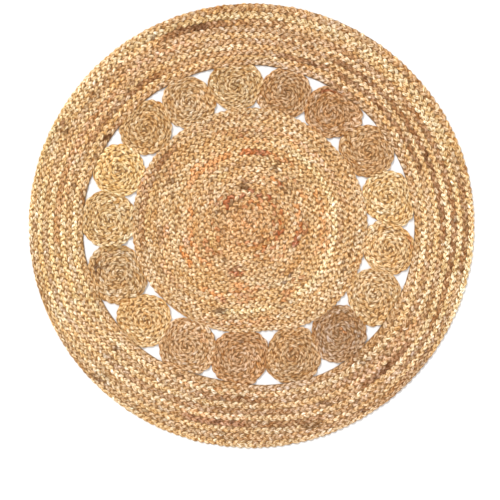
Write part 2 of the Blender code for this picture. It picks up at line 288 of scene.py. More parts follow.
# Stretches of strands that stand out: which plait, from and to which turn of its coil, which of its
# strands, their tone, and how strongly it shows
RUN_COLUMNS = ("plait", "start", "end", "strands", "tone", "depth")
DISC_RUNS = (
    ("inner", 0.80, 1.35, "012", "orange", 0.30), ("inner", 1.36, 1.44, "0", "brown", 0.60),
    ("inner", 1.70, 1.76, "01", "brown", 0.60), ("inner", 2.38, 2.50, "0", "dark", 0.60),
    ("inner", 2.50, 2.66, "0", "rust", 0.70), ("inner", 2.70, 3.00, "0", "rust", 0.60),
    ("inner", 2.77, 2.79, "01", "dark", 0.60), ("inner", 2.85, 2.88, "01", "dark", 0.60),
    ("inner", 3.20, 3.29, "1", "rust", 0.60), ("inner", 3.32, 3.34, "1", "dark", 0.70),
    ("inner", 3.36, 3.39, "01", "red", 0.85), ("inner", 3.39, 3.43, "0", "rust", 0.60),
    ("inner", 3.50, 3.53, "012", "dark", 0.75), ("inner", 4.12, 4.14, "0", "dark", 0.70),
    ("inner", 4.17, 4.24, "01", "rust", 0.60), ("inner", 4.38, 4.40, "0", "brown", 0.70),
    ("inner", 4.50, 4.56, "0", "olive", 0.70), ("inner", 4.58, 4.63, "1", "orange", 0.70),
    ("inner", 4.635, 4.655, "012", "red", 0.85), ("inner", 4.66, 4.68, "01", "dark", 0.60),
    ("inner", 4.73, 4.77, "01", "orange", 0.60), ("inner", 4.78, 4.84, "01", "rust", 0.80),
    ("inner", 4.84, 4.86, "012", "red", 0.95), ("inner", 5.07, 5.10, "012", "red", 0.80),
    ("inner", 5.16, 5.28, "01", "orange", 0.60), ("inner", 5.31, 5.34, "01", "orange", 0.60),
    ("inner", 5.42, 5.44, "0", "dark", 0.60), ("inner", 5.47, 5.55, "01", "brown", 0.45),
    ("inner", 5.60, 5.62, "012", "dark", 0.65), ("inner", 5.64, 5.68, "1", "rust", 0.50),
    ("inner", 5.70, 5.72, "01", "orange", 0.50), ("inner", 5.84, 5.88, "02", "brown", 0.40),
    ("inner", 5.92, 5.96, "0", "brown", 0.60), ("inner", 6.05, 6.09, "012", "orange", 0.50),
    ("inner", 6.20, 6.24, "01", "orange", 0.80), ("inner", 6.28, 6.33, "0", "brown", 0.60),
    ("inner", 6.37, 6.50, "012", "orange", 0.45), ("inner", 6.52, 6.555, "012", "rust", 0.90),
    ("inner", 6.555, 6.58, "012", "red", 0.90), ("inner", 6.58, 6.64, "01", "rust", 0.50),
    ("inner", 6.70, 6.86, "01", "orange", 0.45), ("inner", 6.90, 6.94, "0", "rust", 0.50),
    ("inner", 7.04, 7.07, "012", "rose", 0.60), ("inner", 7.10, 7.15, "01", "orange", 0.65),
    ("inner", 7.27, 7.29, "012", "rose", 0.60), ("inner", 7.34, 7.36, "0", "dark", 0.60),
    ("inner", 7.52, 7.58, "0", "orange", 0.50), ("inner", 7.62, 7.96, "012", "cream", 0.45),
    ("inner", 7.96, 7.98, "01", "rust", 0.50), ("inner", 8.17, 8.23, "01", "rose", 0.40),
    ("inner", 8.37, 8.40, "012", "rose", 0.40), ("inner", 8.48, 8.76, "01", "rose", 0.40),
    ("inner", 9.04, 9.10, "0", "brown", 0.50), ("inner", 9.26, 9.42, "01", "brown", 0.60),
    ("inner", 9.38, 9.41, "012", "brown", 0.60), ("inner", 9.44, 9.57, "0", "brown", 0.55),
    ("inner", 9.80, 9.90, "0", "olive", 0.50), ("inner", 10.00, 10.12, "01", "rose", 0.40),
    ("outer", 1.43, 1.55, "0", "rust", 0.60), ("outer", 1.60, 1.67, "1", "orange", 0.60),
    ("outer", 1.92, 1.98, "01", "brown", 0.70), ("outer", 2.00, 2.12, "0", "rust", 0.70),
    ("outer", 2.07, 2.09, "01", "dark", 0.60), ("outer", 2.12, 2.26, "0", "brown", 0.45),
    ("outer", 2.33, 2.37, "0", "dark", 0.70), ("outer", 2.38, 2.45, "01", "red", 0.85),
    ("outer", 2.41, 2.43, "2", "dark", 0.70), ("outer", 2.45, 2.62, "0", "red", 0.75),
    ("outer", 2.62, 2.65, "01", "red", 0.90), ("outer", 2.65, 2.83, "0", "rust", 0.80),
    ("outer", 2.83, 2.86, "01", "red", 0.90), ("outer", 2.86, 3.02, "0", "rust", 0.75),
    ("outer", 3.04, 3.10, "12", "cream", 0.40), ("outer", 3.16, 3.19, "0", "rose", 0.60),
    ("outer", 3.20, 3.25, "12", "cream", 0.35), ("outer", 3.36, 3.39, "0", "orange", 0.60),
    ("outer", 3.50, 3.53, "01", "brown", 0.80), ("outer", 3.87, 3.96, "0", "rust", 0.45),
    ("outer", 4.07, 4.11, "01", "brown", 0.80), ("outer", 4.16, 4.20, "0", "rust", 0.50),
    ("outer", 4.44, 4.47, "012", "cream", 0.50), ("outer", 4.65, 4.68, "01", "dark", 0.65),
    ("outer", 4.75, 4.79, "12", "grey", 0.50), ("outer", 4.79, 4.83, "01", "red", 0.60),
    ("outer", 5.08, 5.095, "01", "brown", 0.60), ("outer", 5.24, 5.26, "012", "rose", 0.60),
    ("outer", 5.43, 5.46, "01", "rust", 0.50), ("outer", 5.59, 5.61, "0", "dark", 0.60),
    ("outer", 5.93, 5.96, "0", "dark", 0.80), ("outer", 6.00, 6.10, "01", "rust", 0.45),
    ("outer", 6.40, 6.43, "01", "orange", 0.60), ("outer", 6.44, 6.47, "0", "rose", 0.50),
    ("outer", 6.61, 6.63, "0", "brown", 0.60), ("outer", 6.79, 6.85, "01", "orange", 0.40),
    ("outer", 6.91, 6.93, "01", "brown", 0.50), ("outer", 6.95, 6.97, "012", "rust", 0.50),
    ("outer", 7.03, 7.07, "01", "rust", 0.50), ("outer", 7.09, 7.105, "012", "red", 0.60),
    ("outer", 7.26, 7.29, "012", "brown", 0.55), ("outer", 7.36, 7.38, "01", "dark", 0.65),
    ("outer", 7.50, 7.57, "01", "brown", 0.40), ("outer", 7.52, 7.53, "2", "red", 0.60),
    ("outer", 7.77, 7.83, "01", "brown", 0.55), ("outer", 7.97, 8.00, "0", "dark", 0.50),
    ("outer", 8.00, 8.09, "012", "cream", 0.50), ("outer", 8.09, 8.105, "012", "dark", 0.70),
    ("outer", 8.14, 8.26, "01", "grey", 0.40), ("outer", 8.27, 8.35, "12", "cream", 0.35),
    ("outer", 8.36, 8.39, "01", "grey", 0.50), ("outer", 8.82, 8.87, "0", "dark", 0.60),
    ("outer", 9.00, 9.12, "01", "rust", 0.30), ("outer", 9.34, 9.37, "01", "rose", 0.50),
)
BAND_RUNS = (
    ("inner", 0.058, 0.064, "1", "dark", 0.60), ("inner", 0.155, 0.170, "02", "brown", 0.60),
    ("inner", 0.203, 0.208, "0", "dark", 0.70), ("inner", 0.221, 0.229, "01", "dark", 0.95),
    ("inner", 0.233, 0.246, "12", "brown", 0.70), ("inner", 0.296, 0.300, "2", "dark", 0.70),
    ("inner", 0.465, 0.500, "01", "brown", 0.50), ("inner", 0.520, 0.590, "0", "brown", 0.45),
    ("inner", 0.773, 0.787, "02", "brown", 0.60), ("inner", 0.950, 0.958, "1", "dark", 0.60),
    ("inner", 1.158, 1.165, "01", "dark", 0.85), ("inner", 1.200, 1.250, "01", "brown", 0.55),
    ("inner", 1.238, 1.243, "2", "dark", 0.80), ("inner", 1.250, 1.290, "01", "brown", 0.70),
    ("inner", 1.256, 1.260, "0", "dark", 0.70), ("inner", 1.268, 1.274, "1", "dark", 0.80),
    ("inner", 1.279, 1.285, "0", "dark", 0.80), ("inner", 1.400, 1.450, "02", "brown", 0.70),
    ("inner", 1.405, 1.411, "1", "dark", 0.70), ("inner", 1.430, 1.437, "01", "dark", 0.80),
    ("inner", 1.460, 1.580, "01", "brown", 0.65), ("inner", 1.463, 1.468, "2", "dark", 0.60),
    ("inner", 1.505, 1.512, "0", "dark", 0.80), ("inner", 1.522, 1.528, "1", "dark", 0.80),
    ("inner", 1.550, 1.558, "2", "dark", 0.70), ("inner", 1.573, 1.578, "0", "dark", 0.80),
    ("inner", 1.640, 1.790, "0", "brown", 0.60), ("inner", 1.775, 1.800, "1", "brown", 0.60),
    ("inner", 1.860, 1.930, "01", "brown", 0.65), ("inner", 1.885, 1.892, "0", "dark", 0.80),
    ("inner", 1.897, 1.903, "2", "dark", 0.70), ("inner", 2.006, 2.012, "012", "dark", 0.90),
    ("inner", 2.100, 2.240, "01", "rust", 0.25), ("inner", 2.440, 2.520, "01", "brown", 0.70),
    ("inner", 2.447, 2.452, "2", "dark", 0.70), ("inner", 2.470, 2.476, "0", "dark", 0.70),
    ("inner", 2.520, 2.630, "01", "brown", 0.85), ("inner", 2.530, 2.537, "2", "dark", 0.70),
    ("inner", 2.552, 2.560, "01", "dark", 0.80), ("inner", 2.600, 2.606, "2", "dark", 0.70),
    ("inner", 2.630, 2.700, "0", "brown", 0.60), ("inner", 2.715, 2.770, "012", "brown", 0.80),
    ("inner", 2.725, 2.731, "0", "dark", 0.80), ("inner", 2.742, 2.750, "12", "dark", 0.85),
    ("inner", 2.758, 2.764, "0", "dark", 0.80), ("inner", 2.790, 2.796, "0", "dark", 0.80),
    ("inner", 2.800, 2.810, "12", "dark", 0.70), ("inner", 2.815, 2.820, "0", "dark", 0.70),
    ("inner", 2.830, 3.000, "01", "brown", 0.45), ("inner", 3.030, 3.100, "0", "brown", 0.60),
    ("inner", 3.200, 3.225, "02", "grey", 0.70), ("inner", 3.420, 3.500, "0", "brown", 0.50),
    ("inner", 3.500, 3.580, "01", "brown", 0.60), ("inner", 3.523, 3.530, "2", "dark", 0.60),
    ("inner", 3.580, 3.660, "01", "brown", 0.80), ("inner", 3.600, 3.606, "2", "dark", 0.70),
    ("inner", 3.618, 3.625, "0", "dark", 0.70), ("inner", 3.635, 3.642, "1", "dark", 0.70),
    ("inner", 3.655, 3.660, "2", "dark", 0.60), ("inner", 3.660, 3.730, "02", "brown", 0.60),
    ("inner", 3.770, 3.775, "1", "dark", 0.60), ("inner", 3.800, 3.860, "01", "brown", 0.60),
    ("inner", 3.860, 3.910, "012", "red", 0.45), ("inner", 3.865, 3.872, "0", "dark", 0.80),
    ("inner", 3.882, 3.890, "12", "dark", 0.80), ("inner", 3.900, 3.905, "0", "dark", 0.70),
    ("inner", 3.920, 4.000, "0", "grey", 0.50), ("inner", 4.000, 4.180, "12", "cream", 0.25),
    ("inner", 4.035, 4.045, "2", "brown", 0.60), ("inner", 4.092, 4.100, "01", "brown", 0.70),
    ("inner", 4.170, 4.180, "02", "brown", 0.70), ("inner", 4.180, 4.540, "012", "cream", 0.40),
    ("inner", 4.268, 4.274, "1", "dark", 0.70), ("inner", 4.285, 4.295, "0", "brown", 0.70),
    ("inner", 4.430, 4.440, "2", "brown", 0.60), ("inner", 4.560, 4.635, "01", "brown", 0.70),
    ("inner", 4.590, 4.595, "2", "dark", 0.60), ("inner", 4.610, 4.616, "0", "dark", 0.60),
    ("inner", 4.625, 4.630, "1", "dark", 0.60), ("inner", 4.660, 4.730, "0", "brown", 0.60),
    ("inner", 4.693, 4.700, "1", "dark", 0.80), ("inner", 4.757, 4.764, "02", "dark", 0.70),
    ("inner", 4.785, 4.790, "1", "dark", 0.50), ("inner", 4.850, 4.950, "0", "grey", 0.50),
    ("inner", 4.965, 4.975, "12", "dark", 0.70),
    ("outer", 0.050, 0.150, "012", "cream", 0.25), ("outer", 0.143, 0.148, "0", "dark", 0.70),
    ("outer", 0.430, 0.440, "1", "brown", 0.60), ("outer", 0.470, 0.474, "2", "dark", 0.50),
    ("outer", 0.540, 0.560, "0", "brown", 0.50), ("outer", 0.765, 0.776, "01", "dark", 0.60),
    ("outer", 0.860, 0.960, "0", "rose", 0.50), ("outer", 0.955, 0.962, "1", "dark", 0.60),
    ("outer", 1.050, 1.120, "012", "cream", 0.25), ("outer", 1.140, 1.250, "0", "rose", 0.50),
    ("outer", 1.250, 1.270, "1", "brown", 0.60), ("outer", 1.430, 1.436, "2", "brown", 0.60),
    ("outer", 1.530, 1.550, "0", "brown", 0.50), ("outer", 1.700, 1.780, "01", "rose", 0.60),
    ("outer", 1.738, 1.744, "2", "dark", 0.70), ("outer", 1.785, 1.790, "0", "dark", 0.60),
    ("outer", 1.840, 1.940, "0", "brown", 0.35), ("outer", 2.008, 2.014, "1", "dark", 0.60),
    ("outer", 2.022, 2.028, "0", "brown", 0.80), ("outer", 2.040, 2.120, "012", "cream", 0.35),
    ("outer", 2.250, 2.310, "01", "rose", 0.60), ("outer", 2.380, 2.420, "0", "brown", 0.70),
    ("outer", 2.408, 2.414, "1", "dark", 0.60), ("outer", 2.468, 2.474, "2", "dark", 0.70),
    ("outer", 2.490, 2.520, "0", "brown", 0.50), ("outer", 2.560, 2.720, "12", "cream", 0.25),
    ("outer", 2.860, 2.940, "0", "orange", 0.35), ("outer", 3.030, 3.140, "012", "cream", 0.35),
    ("outer", 3.176, 3.182, "01", "dark", 0.80), ("outer", 3.205, 3.250, "0", "brown", 0.70),
    ("outer", 3.280, 3.330, "012", "brown", 0.80), ("outer", 3.293, 3.299, "0", "dark", 0.80),
    ("outer", 3.303, 3.318, "012", "dark", 0.80), ("outer", 3.330, 3.380, "01", "brown", 0.60),
    ("outer", 3.440, 3.700, "12", "cream", 0.30), ("outer", 3.740, 3.880, "0", "brown", 0.45),
    ("outer", 3.795, 3.812, "12", "dark", 0.65), ("outer", 3.845, 3.850, "0", "dark", 0.70),
    ("outer", 3.955, 3.985, "01", "grey", 0.60), ("outer", 4.030, 4.080, "01", "brown", 0.60),
    ("outer", 4.120, 4.200, "012", "cream", 0.30), ("outer", 4.270, 4.520, "02", "brown", 0.45),
    ("outer", 4.540, 4.570, "0", "brown", 0.60), ("outer", 4.600, 4.660, "012", "cream", 0.35),
    ("outer", 4.690, 4.745, "012", "brown", 0.50), ("outer", 4.700, 4.706, "1", "dark", 0.60),
    ("outer", 4.830, 4.840, "0", "brown", 0.60), ("outer", 4.965, 5.010, "01", "brown", 0.55),
)

# The same for the medallions that have some, by their numbers
ROUND_RUNS = {
    3: (("inner", 3.10, 3.24, "012", "red", 0.70), ("outer", 3.17, 3.22, "0", "red", 0.50)),
    4: (
        ("inner", 0.10, 1.00, "012", "brown", 0.45), ("outer", 0.10, 0.80, "012", "brown", 0.45),
        ("outer", 1.03, 1.08, "01", "dark", 0.90), ("inner", 1.28, 1.33, "01", "dark", 0.90),
        ("outer", 2.96, 3.00, "01", "dark", 0.85),
    ),
    5: (("inner", 0.10, 0.90, "012", "olive", 0.50), ("outer", 0.10, 0.80, "012", "olive", 0.40)),
    8: (("inner", 0.10, 1.20, "012", "brown", 0.40), ("outer", 0.10, 0.70, "012", "brown", 0.30)),
    9: (("inner", 2.76, 2.85, "01", "brown", 0.60),),
    10: (
        ("outer", 1.66, 1.72, "012", "dark", 0.85), ("inner", 2.63, 2.68, "12", "dark", 0.80),
        ("outer", 2.80, 2.92, "012", "olive", 0.70), ("inner", 2.72, 2.85, "0", "brown", 0.50),
    ),
    11: (("inner", 0.10, 1.00, "01", "brown", 0.35), ("outer", 0.40, 0.80, "01", "brown", 0.35)),
    12: (("inner", 2.44, 2.50, "01", "rust", 0.60), ("outer", 2.04, 2.10, "0", "brown", 0.70)),
    13: (("outer", 1.97, 2.04, "01", "dark", 0.60),),
    14: (("inner", 1.00, 1.70, "0", "brown", 0.50), ("outer", 0.30, 0.90, "01", "brown", 0.30)),
    15: (("inner", 1.42, 1.56, "01", "orange", 0.50),),
    17: (("inner", 2.64, 2.70, "12", "dark", 0.60), ("outer", 2.80, 2.86, "01", "rust", 0.60)),
}

# From the look of a coil seen from above, with its shaded crevices, to the colour of its jute
LIT = (1.135, 1.27, 1.40)

# The floor, the light and the camera
FLOOR_SIZE = 40.0
FLOOR_WHITE = (0.98, 0.98, 0.98, 1.0)
SURROUND_WHITE = (1.0, 1.0, 1.0, 1.0)
SURROUND_LIGHT = 0.80
WINDOW_LIGHT = 1.7
WINDOW_BREADTH = 18.0
WINDOW_PLACE = (-1.2, 1.4, 2.6)
CAMERA_PLACE = (-0.0026, -0.0496, 3.006)
CAMERA_LENS = 107.0
CAMERA_SENSOR = 36.0
CAMERA_REACH = 20.0


def named_rows(columns, rows):
    """The rows of a table, each as a dictionary of its named columns."""
    return [dict(zip(columns, row)) for row in rows]


ROUNDS = named_rows(ROUND_COLUMNS, ROUND_ROWS)
WANDER = named_rows(WANDER_COLUMNS, WANDER_ROWS)
BAND_LOOK = named_rows(BAND_TONE_COLUMNS, BAND_TONES)
DISC_LOOK = named_rows(DISC_TONE_COLUMNS, DISC_TONES)


def linear(tone):
    """A colour that is given as on a screen, 0 to 255, as light."""
    part = np.asarray(tone, dtype=float) / 255.0
    return np.where(part <= 0.04045, part / 12.92, ((part + 0.055) / 1.055) ** 2.4)


def eased(part):
    """A smooth rise from 0 to 1 as part goes from 0 to 1."""
    held = np.clip(part, 0.0, 1.0)
    return held * held * (3.0 - 2.0 * held)


def polar(radius, bearing):
    """Flat points at radii, in metres, and bearings, in degrees."""
    angle = np.radians(bearing)
    return np.stack((radius * np.cos(angle), radius * np.sin(angle)), axis=-1)


def bearings_of(points):
    """The bearings of flat points, in degrees."""
    return np.degrees(np.arctan2(points[:, 1], points[:, 0])) % 360.0


def around(bearings, values, places):
    """A smooth closed curve through values at bearings, read at places."""
    order = np.argsort(np.asarray(bearings) % 360.0)
    marks = (np.asarray(bearings, dtype=float) % 360.0)[order]
    heights = np.asarray(values, dtype=float)[order]
    count = len(marks)
    here = np.asarray(places, dtype=float) % 360.0
    after = np.searchsorted(marks, here, side="right")
    before, start, end, beyond = ((after + shift) % count for shift in (-2, -1, 0, 1))

    def turn_between(first, second):
        turn = (second - first) % 360.0
        return np.where(turn == 0.0, 360.0, turn)

    span = turn_between(marks[start], marks[end])
    part = turn_between(marks[start], here) % 360.0 / span
    rise = heights[end] - heights[start]
    slope_in = (heights[end] - heights[before]) / turn_between(marks[before], marks[end]) * span
    slope_out = (heights[beyond] - heights[start]) / turn_between(marks[start], marks[beyond]) * span
    curve = part * (1.0 - part) * ((slope_in - rise) * (1.0 - part) + (rise - slope_out) * part)
    return heights[start] + rise * part + curve


def beside_gaps(bearings):
    """0 where a medallion touches the disc and the band, and 1 midway between two medallions."""
    marks = np.array([row["bearing"] for row in ROUNDS])
    marks = np.concatenate((marks[-1:] - 360.0, marks, marks[:1] + 360.0))
    here = np.asarray(bearings) % 360.0
    after = np.searchsorted(marks, here, side="right")
    part = (here - marks[after - 1]) / (marks[after] - marks[after - 1])
    return np.sin(math.pi * part) ** 2


def towards_gaps(headings, outward):
    """0 where a medallion touches the band, the disc and its two neighbours, and 1 midway between them."""
    turned = np.abs((headings - outward + 180.0) % 360.0 - 180.0)
    beyond = (turned - NEIGHBOUR_AT) / (180.0 - NEIGHBOUR_AT)
    return np.sin(math.pi * np.where(turned < NEIGHBOUR_AT, turned / NEIGHBOUR_AT, beyond)) ** 2


def pushed(points, centre, push):
    """Flat points moved away from a centre, each by its own push."""
    offset = points - centre
    least = 1.0 / MM_A_METRE
    reach = np.maximum(np.linalg.norm(offset, axis=1), least)
    return points + offset * (push / reach)[:, None]


def wandering(near, far, across):
    """A smooth curve over the band's width, 0 at both edges and through two values between them."""
    swell = across * (1.0 - across) / (WANDER_NEAR * (1.0 - WANDER_NEAR))
    slant = near * (WANDER_FAR - across) + far * (across - WANDER_NEAR)
    return swell * slant / (WANDER_FAR - WANDER_NEAR)


def vertex_places(data):
    """A mesh's vertices, one row of x, y and z for each."""
    places = np.empty(len(data.vertices) * 3)
    data.vertices.foreach_get("co", places)
    return places.reshape(-1, 3)


def rim_points(node):
    """The flat places of a node's rim, each once."""
    places = vertex_places(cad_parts[node].data)
    rim = places[np.abs(places[:, 2] - RIM_HEIGHT) < RIM_WITHIN, :2]
    return np.unique(np.round(rim, 6), axis=0)


def drift(seed, along, spacing):
    """A smooth random value from -1 to 1 along a strand, with a new one every spacing."""
    place = np.maximum(along, 0.0) / spacing
    whole = np.floor(place).astype(int)
    marks = np.random.default_rng(seed).uniform(-1.0, 1.0, whole.max() + 2)
    part = eased(place - whole)
    return marks[whole] * (1.0 - part) + marks[whole + 1] * part


class Coil:
    """The way that a pair of plaits goes round a coil. place(across, count) is a flat point at a part of
    the coil's width, after a count of turns from its start, and bearing_at(across, count) is its bearing.
    drawn_back moves flat points of the coil's body away from the gaps, as its plaits are."""

    def __init__(self, turns, step_out, has_hole, place, bearing_at, drawn_back, tightness=SEWN_TIGHT):
        self.turns = turns
        self.step_out = step_out
        self.has_hole = has_hole
        self.place = place
        self.bearing_at = bearing_at
        self.drawn_back = drawn_back
        self.tightness = tightness

    def groove(self, count):
        """How many turns out the groove outside both plaits is, after a count of turns."""
        turn = np.floor(count)
        part = count - turn
        if self.has_hole:
            return np.clip(turn + eased(part / self.step_out), 0.0, self.turns)
        stretch = np.maximum(self.step_out, 1.0 - HEART_TIGHTENING * turn)
        settled = np.clip(turn / SETTLED_AFTER, 0.0, 1.0)
        stepped = part + (eased(part / stretch) - part) * settled
        return np.minimum(np.where(count < 0.0, count, turn + stepped), self.turns)

    def route(self, number):
        """The line of one of the two plaits: where it runs, how wide it is, and how long it has run."""
        count = np.arange(0.0, self.turns + 1.0, COUNT_STEP)
        inner, outer = self.groove(count - 1.0), self.groove(count)
        # the inner plait fills the inner half of a turn's width, and the outer plait the other half
        middle = inner + (outer - inner) * (2 * number + 1) / 4.0
        width = (outer - inner) / 2.0
        kept = width > NARROWEST_TAIL / 2.0
        if not self.has_hole:
            kept &= middle > HEART_RADIUS_TURNS
        first = np.argmax(kept)
        last = first + np.argmin(np.append(kept[first:], False))
        count, middle, width = (row[first:last] for row in (count, middle, width))
        near, far = np.maximum(middle - width / 2.0, 0.0), middle + width / 2.0
        middle = (near + far) / 2.0
        points = self.place(middle / self.turns, count)
        spread = self.place(far / self.turns, count) - self.place(near / self.turns, count)
        heading = np.gradient(points, axis=0)
        heading /= np.linalg.norm(heading, axis=1)[:, None]
        breadth = np.abs(spread[:, 0] * heading[:, 1] - spread[:, 1] * heading[:, 0])
        run = np.concatenate(([0.0], np.cumsum(np.linalg.norm(np.diff(points, axis=0), axis=1))))
        return {"count": count, "across": middle, "points": points, "width": breadth, "run": run}


def at_run(route, column, along):
    """What a route's column says at places along its plait."""
    return np.interp(along, route["run"], route[column])


def deselect_all():
    """Leaves nothing selected, the solids neither."""
    bpy.ops.object.select_all(action="DESELECT")


def choose(piece):
    """Makes a piece the only one selected, and the active one."""
    deselect_all()
    piece.select_set(True)
    bpy.context.view_layer.objects.active = piece


def point_values(data, name):
    """One value for each vertex of a mesh, from its own attribute."""
    values = np.empty(len(data.vertices))
    data.attributes[name].data.foreach_get("value", values)
    return values


def weave_line(turn):
    """Where the middle of a strand is, to the side and in height, at an angle of its repeat. It runs nearly
    straight from side to side, and turns sharply."""
    height = -STRAND_RISE * np.sin(2.0 * turn) - STRAND_EDGE_LIFT * np.cos(2.0 * turn)
    side = np.arcsin(STRAND_STRAIGHTNESS * np.sin(turn)) / math.asin(STRAND_STRAIGHTNESS)
    return STRAND_SWING * side, height


def woven(turn, girth, around_part):
    """A point on a strand's skin. around_part goes from 0 underneath, round the side of +Y, back to 1."""
    side, height = weave_line(turn)
    angle = 2.0 * math.pi * around_part
    swell, rise = np.sin(angle), np.cos(angle)
    swell = np.sign(swell) * np.abs(swell) ** STRAND_FLATNESS
    rise = np.sign(rise) * np.abs(rise) ** STRAND_FLATNESS
    half_width = (STRAND_HALF_WIDTH + STRAND_CROSSING_WIDTH * np.cos(turn) ** 2) * girth
    return side + half_width * swell, height - STRAND_HALF_THICKNESS * girth * rise


def strand_angle(places, strand, length):
    """How far through its weave a strand is at each place, as an angle."""
    return 2.0 * math.pi * (places[:, 0] / length + strand / STRANDS)


def plait_repeat():
    """One repeat of the plait along +X: three open tubes, cut into rings and woven over each other."""
    strands = []
    for number in range(STRANDS):
        deselect_all()
        bpy.ops.mesh.primitive_cylinder_add(
            vertices=STRAND_SIDES, radius=STRAND_HALF_THICKNESS, depth=REPEAT, end_fill_type="NOTHING",
            location=(REPEAT / 2.0, 0.0, 0.0), rotation=(0.0, math.radians(90.0), 0.0),
        )
        strand = bpy.context.active_object
        bpy.ops.object.transform_apply(location=True, rotation=True, scale=True)
        bpy.ops.object.mode_set(mode="EDIT")
        for ring in range(1, STRAND_RINGS):
            bpy.ops.mesh.select_all(action="SELECT")
            bpy.ops.mesh.bisect(plane_co=(REPEAT * ring / STRAND_RINGS, 0.0, 0.0), plane_no=(1.0, 0.0, 0.0))
        bpy.ops.object.mode_set(mode="OBJECT")
        data = strand.data
        places = vertex_places(data)
        part = np.round(np.arctan2(places[:, 1], -places[:, 2]) / (2.0 * math.pi) * STRAND_SIDES)
        part = part % STRAND_SIDES / STRAND_SIDES
        for name, values in (("strand", np.full(len(places), float(number))), ("around", part)):
            data.attributes.new(name, "FLOAT", "POINT").data.foreach_set("value", values)
        turn = strand_angle(places, number, REPEAT)
        places[:, 1], places[:, 2] = woven(turn, 1.0, part)
        data.vertices.foreach_set("co", places.ravel())
        strands.append(strand)
    deselect_all()
    for strand in strands:
        strand.select_set(True)
    bpy.context.view_layer.objects.active = strands[0]
    bpy.ops.object.join()
    repeat = strands[0]
    repeat.name = "plait_repeat"
    return repeat


def sculpt_plait(data, length, repeat, route, tightness, seed):
    """Makes a straight plait as uneven as a hand-made one, as wide as its place in the coil, and thin at
    its two ends. Returns where each vertex is along the plait, its strand, and its place round the strand."""
    places = vertex_places(data)
    strand = point_values(data, "strand")
    part = point_values(data, "around")
    along = places[:, 0].copy()
    turn = strand_angle(places, strand, repeat)
    turn = turn + PITCH_DRIFT * drift(seed, along, PITCH_DRIFT_EVERY)
    side_drift, height_drift, girth = np.zeros(len(along)), np.zeros(len(along)), np.ones(len(along))
    for number in range(STRANDS):
        mine = strand == number
        own = seed + number
        turn[mine] += LOBE_SLIP * drift(own + SLIP_SEED, along[mine], 2.0 * LOBE_DRIFT_EVERY)
        side_drift[mine] = SIDE_DRIFT * drift(own + SIDE_SEED, along[mine], LOBE_DRIFT_EVERY)
        height_drift[mine] = HEIGHT_DRIFT * drift(own + HEIGHT_SEED, along[mine], LOBE_DRIFT_EVERY)
        girth[mine] += GIRTH_DRIFT * drift(own + GIRTH_SEED, along[mine], LOBE_DRIFT_EVERY)
    side, height = woven(turn, girth, part)
    scale = at_run(route, "width", along) / PLAIT_WIDTH * tightness
    thickness = np.clip(scale * SQUEEZED_HEIGHT, SQUEEZED_LEAST, 1.0)
    ends = np.minimum(along, length - along) / END_TAPER
    thinness = END_THINNEST + (1.0 - END_THINNEST) * eased(ends)
    places[:, 1] = (side + side_drift) * scale * thinness
    places[:, 2] = PLAIT_MIDDLE + (height + height_drift) * thickness * thinness
    places[:, 2] = np.clip(places[:, 2], PLAIT_LOWEST, PLAIT_HIGHEST)
    data.vertices.foreach_set("co", places.ravel())
    return along, strand, part


def mark_strands(data, along, strand, part):
    """The piece's own map: round the strand one way and along it the other, in metres."""
    loops = np.empty(len(data.loops), dtype=int)
    data.loops.foreach_get("vertex_index", loops)
    faces = np.empty(len(data.loops), dtype=int)
    for polygon in data.polygons:
        faces[polygon.loop_start:polygon.loop_start + polygon.loop_total] = polygon.index
    across = part[loops]
    widest = np.zeros(len(data.polygons))
    np.maximum.at(widest, faces, across)
    # the face that closes the strand's girth ends at 1, and not back at 0
    across = np.where((across == 0.0) & (widest[faces] > 0.5), 1.0, across)
    round_strand = (across + strand[loops] * STRAND_MAP_STEP) * STRAND_GIRTH
    spots = np.stack((round_strand, along[loops] * STRAND_TAKE_UP), axis=1)
    layer = data.uv_layers.new(name="strand_map")
    layer.data.foreach_set("uv", spots.ravel())


def route_curve(name, route):
    """A flat curve along a plait's line, with a point every few millimetres."""
    length = route["run"][-1]
    places = np.linspace(0.0, length, int(length / ROUTE_STEP) + 1)
    flat = np.stack([np.interp(places, route["run"], row) for row in route["points"].T], axis=1)
    shape = bpy.data.curves.new(name, "CURVE")
    shape.dimensions = "2D"
    line = shape.splines.new("POLY")
    line.points.add(len(flat) - 1)
    corners = np.zeros((len(flat), 4))
    corners[:, :2] = flat
    corners[:, 3] = 1.0
    line.points.foreach_set("co", corners.ravel())
    curve = bpy.data.objects.new(name, shape)
    bpy.context.scene.collection.objects.link(curve)
    return curve


